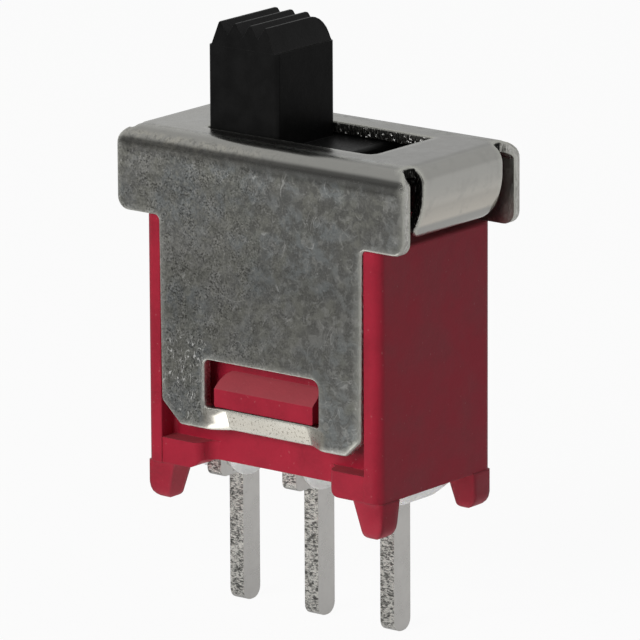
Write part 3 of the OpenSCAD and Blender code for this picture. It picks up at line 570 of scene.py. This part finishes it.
class Fold:
    """The cover's sheet: a flat pattern in u and v, and the way it is folded into place. Works in millimetres.

    u runs along the switch and v across it, both over the sheet's outer face. Past a fold line the face follows an
    arc of the bend's radius and then runs straight down, so a length on the pattern is a length on the cover.
    """

    def __init__(self, sheet):
        s = {name: getattr(sheet, name) / MM for name in sheet.__annotations__}
        s["curl_angle"], s["slant_skew"] = sheet.curl_angle, sheet.slant_skew
        self.s = s
        self.top = COVER_HIGH[2]
        self.half = COVER_HIGH[1]
        self.end = COVER_HIGH[0]
        self.low = COVER_LOW[2]
        self.turn = s["bend"] * math.pi / 2
        self.fold_v = self.half - s["bend"]
        self.fold_u = self.end - s["bend"]
        self.window = self.low + s["strip_height"]

    def v_at(self, z):
        """The place on the pattern of a height on a band or tongue."""
        over = np.clip((z - (self.top - self.s["bend"])) / self.s["bend"], -1, 1)
        arc = self.fold_v + self.s["bend"] * np.arccos(np.maximum(over, 0))
        return np.where(over > 0, arc, self.fold_v + self.turn + self.top - self.s["bend"] - z)

    def outline(self):
        """The pattern's outer edge: one quarter for each end, mirrored across the switch."""
        s = self.s
        x, r = s["band_length"] / 2, s["band_top_corner"]
        notch_u = self.end - s["notch"]
        notch_z = self.top - s["bend"] + math.sqrt(s["bend"] ** 2 - (s["bend"] - s["thickness"]) ** 2)
        notch_v = float(self.v_at(notch_z))
        turn = np.linspace(math.asin((notch_z - self.top + r) / r), 0, 6)
        corner_z = self.top - r + r * np.sin(turn)
        corner = np.column_stack([x - r + r * np.cos(turn), self.v_at(corner_z), np.zeros(6)])
        tab_end = self.fold_u + self.turn + s["tab_straight"] + s["curl"] * s["curl_angle"]
        w = s["tongue_width"] / 2
        low = float(self.v_at(self.low))
        head = [
            (tab_end, s["tab_width"] / 2, s["tab_corner"]),
            (notch_u, s["tab_width"] / 2, 0.15),
            (notch_u, notch_v, 0.06),
            *corner.tolist(),
            (x, float(self.v_at(s["band_foot"])), s["band_corner"]),
            (w, float(self.v_at(s["band_foot"])), s["tongue_root"]),
        ]
        foot = w - s["tongue_taper"]
        near, far = (
            head + [(foot, low - s["slant_height"] * k, r), (foot - s["slant_width"] * k, low, r)]
            for k, r in ((1 - s["slant_skew"], s["tongue_corner"]), (1 + s["slant_skew"], s["tongue_corner"]))
        )
        back = near + [(-u, v, r) for u, v, r in far[::-1]]
        return rounded(back + [(u, -v, r) for u, v, r in back[::-1]])

    def holes(self):
        """The slot and the two windows, drawn clockwise."""
        s = self.s
        a, b, c = s["slot_length"] / 2, s["slot_width"] / 2, s["slot_shift"]
        slot = [(c - a, -b, 0.15), (c - a, b, 0.06), (c + a, b, 0.06), (c + a, -b, 0.24)]
        left, right = s["window_shift"] - s["window_width"] / 2, s["window_shift"] + s["window_width"] / 2
        low, high = float(self.v_at(self.window)), float(self.v_at(self.window + s["window_height"]))
        window = [(left, -low, 0.12), (left, -high, 0.15), (right, -high, 0.25), (right, -low, 0.12)]
        return [rounded(slot), rounded(window), rounded([(u, -v, r) for u, v, r in window[::-1]])]

    def placed(self, u, v, depth):
        """Each point of the pattern, so deep under the outer face, in its place on the folded cover."""
        s = self.s
        side, a = np.sign(v), np.abs(v)
        angle = np.clip((a - self.fold_v) / s["bend"], 0, math.pi / 2)
        down = np.maximum(a - self.fold_v - self.turn, 0)
        y = np.minimum(a, self.fold_v) + (s["bend"] - depth) * np.sin(angle)
        z = self.top - s["bend"] + (s["bend"] - depth) * np.cos(angle) - down
        flat, ramp = s["strip_flat"] / 2, s["strip_ramp"]
        along = np.clip((flat + ramp - np.abs(u - s["strip_shift"])) / ramp, 0, 1)
        lower = np.clip((self.window - z) / s["strip_height"], 0, 1)
        pressed = s["strip_in"] * (1 + 2 * lower) / 3 * along * (z < self.window + 1e-6) * (down > 0)
        y = side * (y - pressed)
        x = u.copy()
        tab = (np.abs(u) > self.fold_u) & (a < s["tab_width"] / 2 + 1e-6)
        e = np.abs(u[tab]) - self.fold_u
        d = depth[tab]
        turn = np.clip(e / s["bend"], 0, math.pi / 2)
        straight = np.clip(e - self.turn, 0, s["tab_straight"])
        curl = np.maximum(e - self.turn - s["tab_straight"], 0) / s["curl"]
        reach = self.fold_u + (s["bend"] - d) * np.sin(turn)
        drop = (s["bend"] - d) * (1 - np.cos(turn)) + straight
        reach = reach - (s["curl"] - d) * (1 - np.cos(curl))
        drop = drop + (s["curl"] - d) * np.sin(curl)
        x[tab] = np.sign(u[tab]) * reach
        z[tab] = self.top - d - drop
        y[tab] = v[tab]
        return np.column_stack([x, y, z])

    def mesh(self, name):
        """Both faces of the pattern with rolled outer edges, joined round every outline."""
        s = self.s
        fine = 0.11
        loops = [divided(loop, fine) for loop in (self.outline(), *self.holes())]
        rolls = [s["roll"]] + [s["hole_roll"]] * 3
        steps = np.radians([0, 30, 60, 90])
        rings = [[moved_in(loop, r * (1 - math.cos(t))) for loop, r in zip(loops, rolls)] for t in steps]
        ring = np.concatenate([np.concatenate(level) for level in rings])
        radius = np.repeat(rolls, [len(loop) for loop in loops])
        drop = np.concatenate([radius * (1 - math.sin(t)) for t in steps])
        reach = np.abs(ring).max(0)
        outward = np.arange(self.fold_u - 0.1, reach[0], 0.085)
        kinks = np.array([-1, -1, 1, 1]) * (s["strip_flat"] / 2 + s["strip_ramp"] * np.array([1, 0, 0, 1]))
        kinks = (s["strip_shift"] + kinks[:, None] + [-0.03, 0.0, 0.03]).ravel()
        middle = np.arange(0.25 - self.fold_u, self.fold_u - 0.15, 0.17)
        middle = middle[np.abs(middle[:, None] - kinks).min(1) > 0.05]
        across = np.sort(np.concatenate([-outward[::-1], middle, kinks, outward]))
        grid = np.stack(np.meshgrid(across, np.arange(-reach[1], reach[1], 0.1)), -1)
        grid = grid.reshape(-1, 2)
        grid = grid[inside(grid, loops)]
        gap = self.edge_distance(grid, loops)
        grid = grid[gap > s["roll"] + 0.06]
        flat = np.concatenate([ring, grid])
        sides = []
        start = 0
        for level in rings:
            for loop in level:
                k = np.arange(len(loop))
                sides.append(start + np.column_stack([k, np.roll(k, -1)]))
                start += len(loop)
        sides = np.concatenate(sides)
        result = delaunay_2d_cdt(flat.tolist(), sides.tolist(), [], 0, 1e-7)
        if len(result[0]) != len(flat):
            raise RuntimeError("the cover's pattern has crossing outlines")
        order = np.array([source[0] for source in result[3]])
        tris = order[np.array(result[2])]
        tris = tris[inside(flat[tris].mean(1), loops)]
        a, b, c = (flat[tris[:, k]] for k in range(3))
        turned = np.cross(b - a, c - a) < 0
        tris[turned] = tris[turned][:, ::-1]
        depth = np.concatenate([drop, np.zeros(len(grid))])
        outer = self.placed(flat[:, 0], flat[:, 1], depth)
        inner = self.placed(flat[:, 0], flat[:, 1], np.full(len(flat), s["thickness"]))
        count = sum(map(len, loops))
        walls = sides[:count]
        n = len(flat)
        middle = self.placed(flat[:count, 0], flat[:count, 1], np.full(count, s["thickness"] * 0.6))
        verts = np.concatenate([outer, inner, middle]) * MM
        m = 2 * n
        upper = np.column_stack([walls[:, 0], walls[:, 0] + m, walls[:, 1] + m, walls[:, 1]])
        lower = np.column_stack([walls[:, 0] + m, walls[:, 0] + n, walls[:, 1] + n, walls[:, 1] + m])
        faces = tris.tolist() + (tris[:, ::-1] + n).tolist() + upper.tolist() + lower.tolist()
        mesh = bpy.data.meshes.new(name)
        mesh.from_pydata(verts.tolist(), [], faces)
        mesh.polygons.foreach_set("use_smooth", np.ones(len(faces), bool))
        cut = np.zeros(len(verts), np.float32)
        cut[:count] = 0.6
        # A paler line round the rolled outer edges, partly wear and partly a painted highlight.
        wear_and_sheen = np.zeros(len(verts), np.float32)
        wear_and_sheen[:count] = 0.5
        wear_and_sheen[count : 3 * count] = 1.0
        wear_and_sheen[3 * count : 4 * count] = 0.5
        # Painted highlight: the inner face near each band's end is painted lit where it shows through the end gaps.
        inset = np.clip((np.abs(flat[:, 0]) - s["band_length"] / 2 + 0.5) / 0.3, 0, 1)
        wear_and_sheen[n:m] = inset * (np.abs(flat[:, 1]) > self.fold_v) * 1.7
        # Painted shade: the faces in the end gaps beside the tabs and round the slot are marked to be painted near
        # black, the slot less so towards its right end.
        deep = np.zeros(len(verts), np.float32)
        a, u = np.abs(flat[:, 1]), np.abs(flat[:, 0])
        notch = (u > self.end - s["notch"] - 0.02) & (a < self.fold_v + 0.1) & (a > s["tab_width"] / 2 - 0.1)
        slot = (u < s["slot_length"] / 2 + 0.08) & (a < s["slot_width"] / 2 + 0.02)
        gap = np.where(notch, 1.0, np.where(slot, 0.8 - 0.35 * np.clip(flat[:, 0] - 1.6, 0, 1), 0.0))
        gap[3 * count :] = 0.0
        deep[:count] = gap[:count]
        deep[n : n + count] = gap[:count]
        deep[m:] = gap[:count]
        cut[n : n + count] = 1.0
        cut[m:] = 1.0
        first = len(loops[0]) + len(loops[1])
        for start in (n, m):
            cut[start + first : start + count] = 0.1
        a, u = np.abs(flat[:, 1]), np.abs(flat[:, 0])
        arc_v = 1 - np.clip(np.abs(a - self.fold_v - self.turn / 2) / (self.turn * 0.62), 0, 1) ** 3
        arc_u = np.clip((u - self.fold_u) / 0.3, 0, 1) * (a < s["tab_width"] / 2 + 1e-6)
        flat_top = np.clip((self.fold_v - a) / 0.3, 0, 1) * 0.75
        smooth = np.maximum.reduce([arc_v, arc_u, flat_top])
        smooth = np.concatenate([smooth, smooth, smooth[:count]]).astype(np.float32)
        low = np.where(outer[:, 2] < self.window - 1e-6, 1.0, 0.0) * (outer[:, 2] > self.low + 0.01)
        flat_x = flat[:, 0] - s["strip_shift"]
        end = s["strip_flat"] / 2
        far = end + s["strip_ramp"]
        # Painted highlight along the pressed strip: brightest on the left ramp, dark lines at each end of the flat,
        # paler on the flat and on the right ramp.
        knots = [-far - 0.2, -far, -end - 0.03, -end, -end + 0.03, end - 0.03, end, end + 0.03, far, far + 0.1]
        level = [0.0, 1.0, 1.0, 0.1, 0.6, 0.6, 0.25, 0.6, 0.45, 0.0]
        pressed_sheen = low * np.interp(flat_x, knots, level)
        pressed_sheen = np.concatenate([pressed_sheen, pressed_sheen, pressed_sheen[:count]]).astype(np.float32)
        mesh.attributes.new("pressed_sheen", "FLOAT", "POINT").data.foreach_set("value", pressed_sheen)
        mesh.attributes.new("cut", "FLOAT", "POINT").data.foreach_set("value", cut)
        mesh.attributes.new("wear_and_sheen", "FLOAT", "POINT").data.foreach_set("value", wear_and_sheen)
        mesh.attributes.new("deep", "FLOAT", "POINT").data.foreach_set("value", deep)
        mesh.attributes.new("bend", "FLOAT", "POINT").data.foreach_set("value", smooth)
        mesh.validate()
        return mesh

    def edge_distance(self, points, loops):
        """How far each point is from the nearest outline point."""
        edge = np.concatenate([divided(loop, 0.05) for loop in loops])
        out = np.empty(len(points))
        for start in range(0, len(points), 1000):
            part = points[start : start + 1000, None] - edge[None]
            out[start : start + 1000] = np.sqrt((part**2).sum(2)).min(1)
        return out


class SWITCH_OT_case(bpy.types.Operator):
    """Finishes the moulded case"""

    bl_idname = "switch.case"
    bl_label = "Case"

    def execute(self, context):
        dress("case", moulded_red(context.scene.switch_finish), creases())
        return {"FINISHED"}


class SWITCH_OT_cover(bpy.types.Operator):
    """Folds the plated cover from its flat pattern"""

    bl_idname = "switch.cover"
    bl_label = "Cover"

    def execute(self, context):
        mesh = Fold(context.scene.switch_sheet).mesh("folded_cover")
        cover = bpy.data.objects.new("folded_cover", mesh)
        context.scene.collection.objects.link(cover)
        mesh.materials.append(plated_sheet(context.scene.switch_finish))
        crease = cover.modifiers.new("creases", "NODES")
        crease.node_group = creases()
        normal = cover.modifiers.new("normals", "WEIGHTED_NORMAL")
        normal.keep_sharp = True
        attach(cover, "housing")
        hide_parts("cover")
        return {"FINISHED"}


class SWITCH_OT_slider(bpy.types.Operator):
    """Finishes the slider"""

    bl_idname = "switch.slider"
    bl_label = "Slider"

    def execute(self, context):
        dress("slider", black_nylon(context.scene.switch_finish), creases())
        return {"FINISHED"}


class SWITCH_OT_pins(bpy.types.Operator):
    """Finishes the three pins"""

    bl_idname = "switch.pins"
    bl_label = "Pins"

    def execute(self, context):
        metal = tinned_pin(context.scene.switch_finish)
        for side in ("left", "common", "right"):
            dress(side + "_terminal", metal, creases())
        return {"FINISHED"}


class SWITCH_OT_works(bpy.types.Operator):
    """Finishes the seal and the pieces inside the case"""

    bl_idname = "switch.works"
    bl_label = "Seal and inner pieces"

    def execute(self, context):
        dress("epoxy_seal", cloudy_resin(context.scene.switch_finish), creases())
        silver = inner_metal("contact_silver", (0.72, 0.70, 0.66), 0.28, 0.02 * MM)
        dress("rocker", silver, creases())
        for name in ("rocker_contact", "fixed_contact"):
            dress("left_" + name, silver, creases())
            dress("right_" + name, silver, creases())
        dress("plunger", inner_metal("plunger_brass", (0.72, 0.52, 0.22), 0.26, 0.02 * MM), creases())
        self.spring(context)
        return {"FINISHED"}

    def spring(self, context):
        """The coil rides with the plunger."""
        low, high = (np.array(corner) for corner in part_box("plunger_spring"))
        size = context.scene.switch_spring
        obj = bpy.data.objects.new("coil_spring", coil("coil_spring", low, high, size.wire, size.turns))
        context.scene.collection.objects.link(obj)
        obj.data.materials.append(inner_metal("spring_wire", (0.5, 0.5, 0.5), 0.3, 0.01 * MM))
        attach(obj, "plunger_body")
        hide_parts("plunger_spring")
        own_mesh(obj)


class SWITCH_OT_stage(bpy.types.Operator):
    """Sets the floor, the lamps, the world and the camera"""

    bl_idname = "switch.stage"
    bl_label = "Stage"

    def execute(self, context):
        stage = context.scene.switch_stage
        self.camera(context, stage)
        self.room(context, stage)
        self.floor(context, stage)
        self.lamp(context, "key", (-0.10, -0.93, 0.35), stage.key, 0.16)
        self.lamp(context, "fill", (0.85, -0.30, 0.35), stage.fill, 0.20)
        self.lamp(context, "top", (-0.10, 0.35, 0.95), stage.top, 0.20)
        context.scene.view_settings.view_transform = "Standard"
        return {"FINISHED"}

    def camera(self, context, stage):
        az, el = stage.azimuth, stage.elevation
        forward = np.array([-math.sin(az) * math.cos(el), math.cos(az) * math.cos(el), -math.sin(el)])
        right = np.array([math.cos(az), math.sin(az), 0.0])
        up = np.cross(right, forward)
        c, s = math.cos(stage.roll), math.sin(stage.roll)
        right, up = right * c + up * s, up * c - right * s
        camera = bpy.data.objects.new("camera", bpy.data.cameras.new("camera"))
        aim = np.array([0.054, 0.0, 4.956]) * MM
        matrix = np.eye(4)
        matrix[:3, 0], matrix[:3, 1], matrix[:3, 2] = right, up, -forward
        matrix[:3, 3] = aim - forward * stage.distance
        context.scene.collection.objects.link(camera)
        camera.matrix_world = matrix.T.tolist()
        camera.data.lens = stage.lens
        camera.data.sensor_width = 36
        camera.data.clip_start = 0.01
        camera.data.clip_end = 10
        context.scene.camera = camera

    def lamp(self, context, name, way, power, size):
        """A square soft lamp 0.25 m away, turned to the part."""
        data = bpy.data.lights.new(name, "AREA")
        data.energy = power
        data.size = size
        obj = bpy.data.objects.new(name, data)
        back = np.array(way) / np.linalg.norm(way)
        right = np.cross([0, 0, 1], back)
        right /= np.linalg.norm(right)
        matrix = np.eye(4)
        matrix[:3, 0], matrix[:3, 1], matrix[:3, 2] = right, np.cross(back, right), back
        matrix[:3, 3] = back * 0.25
        context.scene.collection.objects.link(obj)
        obj.matrix_world = matrix.T.tolist()
        obj.visible_glossy = False

    def room(self, context, stage):
        """Even light all round, a white backdrop for the camera, and for reflections a pale room, dark in front."""
        world = bpy.data.worlds.new("studio")
        context.scene.world = world
        w = Wiring("studio", world)
        front = w.add("VectorMath", {0: w.add("TexCoord", out=0), 1: (0, -0.8, -0.6)}, 1, operation="DOT_PRODUCT")
        level = w.band(front, 0.0, 0.35, 0.60, 0.14)
        path = w.add("LightPath").node.outputs
        seen = w.maths("MAXIMUM", path["Is Camera Ray"], path["Is Transmission Ray"])
        mirror = w.maths("MULTIPLY", path["Is Glossy Ray"], w.maths("SUBTRACT", 1.0, seen))
        rest = w.maths("SUBTRACT", 1.0, w.maths("ADD", seen, mirror))
        light = w.maths("ADD", seen, w.maths("MULTIPLY", mirror, level))
        background = w.tree.nodes["Background"]
        background.inputs["Color"].default_value = (1, 1, 1, 1)
        w.join(background, {"Strength": w.maths("ADD", light, w.maths("MULTIPLY", rest, stage.room))})

    def floor(self, context, stage):
        """A wide pale floor at the pins' tips: near white to the camera, and to reflections a painted light, dimmer
        further off.

        To reflections it also shows a painted pool of light just in front of the part. Under the part it glows to
        diffuse rays, a painted light that lifts the part's undersides.
        """
        data = bpy.data.meshes.new("floor")
        half = 0.6
        corners = [(-half, -half, PIN_TIP), (half, -half, PIN_TIP), (half, half, PIN_TIP), (-half, half, PIN_TIP)]
        data.from_pydata(corners, [], [(0, 1, 2, 3)])
        floor = bpy.data.objects.new("floor", data)
        context.scene.collection.objects.link(floor)
        w = Wiring("pale_floor")
        tone = tuple(stage.floor_colour)
        cloud = w.noise(40.0, 2.0)
        body = w.blend(w.band(cloud, 0.3, 0.7), scaled(tone, 0.985), tone)
        w.finish(Base_Color=body, Roughness=0.8)
        place = w.add("TexCoord", out=3)
        # Painted light to reflections: brighter near the part, dimmer further towards the front-left.
        front = w.add("VectorMath", {0: place, 1: (-0.62, -0.78, 0.0)}, 1, operation="DOT_PRODUCT")
        middle = (-3.0 * MM, -7.0 * MM, PIN_TIP)
        away = w.add("VectorMath", {0: place, 1: middle}, 1, operation="DISTANCE")
        near = w.band(away, 4 * MM, 9 * MM, 1.0, 0.0)
        level = w.maths("MAXIMUM", w.band(front, -8 * MM, 14 * MM, 0.62, 0.32), near)
        # Painted light: a bright pool on the floor in front of the part, seen only in reflections.
        spot = w.add("VectorMath", {0: place, 1: (-1.3 * MM, -11 * MM, PIN_TIP)}, 1, operation="DISTANCE")
        level = w.maths("MAXIMUM", level, w.band(spot, 3.5 * MM, 6 * MM, 1.7, 0.0))
        glow = w.add("Emission", {"Strength": level})
        white = w.add("Emission", {"Strength": 1.0})
        path = w.add("LightPath").node.outputs
        nodes = w.tree.nodes
        share = w.maths("MULTIPLY", path["Is Camera Ray"], stage.floor_white)
        mix = w.add("MixShader", {0: share, 1: nodes["Principled BSDF"].outputs[0], 2: white})
        mix = w.add("MixShader", {0: path["Is Glossy Ray"], 1: mix, 2: glow})
        # Painted light: under the part the floor glows to diffuse rays, lifting the part's undersides.
        below = w.add("VectorMath", {0: place, 1: (0.0, 0.0, PIN_TIP)}, 1, operation="DISTANCE")
        below = w.maths("MULTIPLY", w.band(below, 4 * MM, 6 * MM, 1.5, 0.0), path["Is Diffuse Ray"])
        mix = w.add("AddShader", {0: mix, 1: w.add("Emission", {"Strength": below})})
        w.tree.links.new(mix, nodes["Material Output"].inputs["Surface"])
        data.materials.append(w.owner)

class SWITCH_PT_panel(bpy.types.Panel):
    """The sidebar's list of sizes and steps"""

    bl_idname = "SWITCH_PT_panel"
    bl_label = "Slide Switch"
    bl_space_type = "VIEW_3D"
    bl_region_type = "UI"
    bl_category = "Slide Switch"

    def draw(self, context):
        scene = context.scene
        for group in (scene.switch_finish, scene.switch_sheet, scene.switch_spring, scene.switch_stage):
            for name in group.__annotations__:
                self.layout.prop(group, name)
        for step in STEPS:
            self.layout.operator(step.bl_idname)


STEPS = (SWITCH_OT_case, SWITCH_OT_cover, SWITCH_OT_slider, SWITCH_OT_pins, SWITCH_OT_works, SWITCH_OT_stage)
CLASSES = (Finish, Sheet, Spring, Stage, *STEPS, SWITCH_PT_panel)


def register():
    for cls in CLASSES:
        bpy.utils.register_class(cls)
    bpy.types.Scene.switch_finish = bpy.props.PointerProperty(type=Finish)
    bpy.types.Scene.switch_sheet = bpy.props.PointerProperty(type=Sheet)
    bpy.types.Scene.switch_spring = bpy.props.PointerProperty(type=Spring)
    bpy.types.Scene.switch_stage = bpy.props.PointerProperty(type=Stage)


def unregister():
    del bpy.types.Scene.switch_stage
    del bpy.types.Scene.switch_spring
    del bpy.types.Scene.switch_sheet
    del bpy.types.Scene.switch_finish
    for cls in reversed(CLASSES):
        bpy.utils.unregister_class(cls)


def main():
    register()
    for step in STEPS:
        group, name = step.bl_idname.split(".")
        getattr(getattr(bpy.ops, group), name)()


if __name__ == "__main__":
    main()
